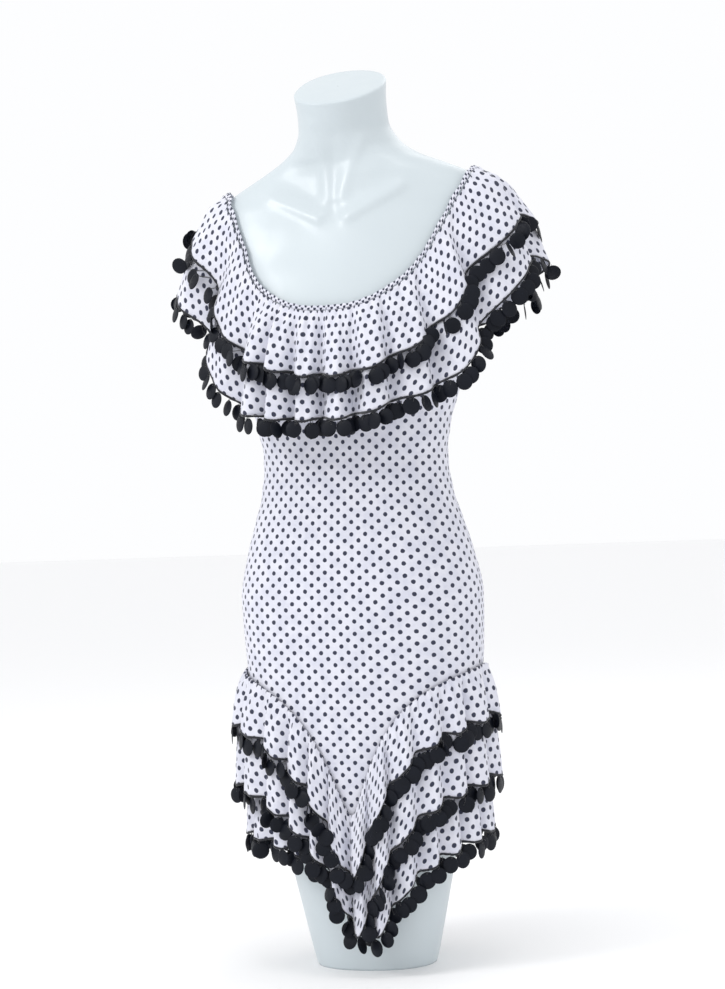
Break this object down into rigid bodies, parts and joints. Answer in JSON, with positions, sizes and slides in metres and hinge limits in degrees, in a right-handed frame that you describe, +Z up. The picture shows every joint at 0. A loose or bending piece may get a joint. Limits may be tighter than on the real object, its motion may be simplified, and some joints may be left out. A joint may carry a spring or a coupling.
{
  "type": "dotted ruffle dress on dress form",
  "caption": "Fitted white polka-dot dress with a ruffled scoop neck, a V-shaped ruffled hem and black disc trims, on a limbless dress form.",
  "frame": {"origin": "centre of the form's flat base", "axes": "+Z up, along the longest side; the front faces -Y and the wearer's left is +X"},
  "size_m": [0.4717, 0.2828, 1.09],
  "materials": {
    "form_plastic": "glossy",
    "dotted_jersey": "matt, white ground with dark blue-grey dots",
    "black_trim": "satin"
  },
  "bodies": {
    "root": {"display_form": "form_plastic", "front_panel": "dotted_jersey", "back_panel": "dotted_jersey", "neck_casing": "dotted_jersey", "neck_ruffle_upper": "dotted_jersey", "neck_ruffle_lower": "dotted_jersey", "hem_ruffle_top": "dotted_jersey", "hem_ruffle_middle": "dotted_jersey", "hem_ruffle_bottom": "dotted_jersey", "neck_trim_upper": "black_trim", "neck_trim_lower": "black_trim", "hem_trim_top": "black_trim", "hem_trim_middle": "black_trim", "hem_trim_bottom": "black_trim"}
  },
  "joints": []
}
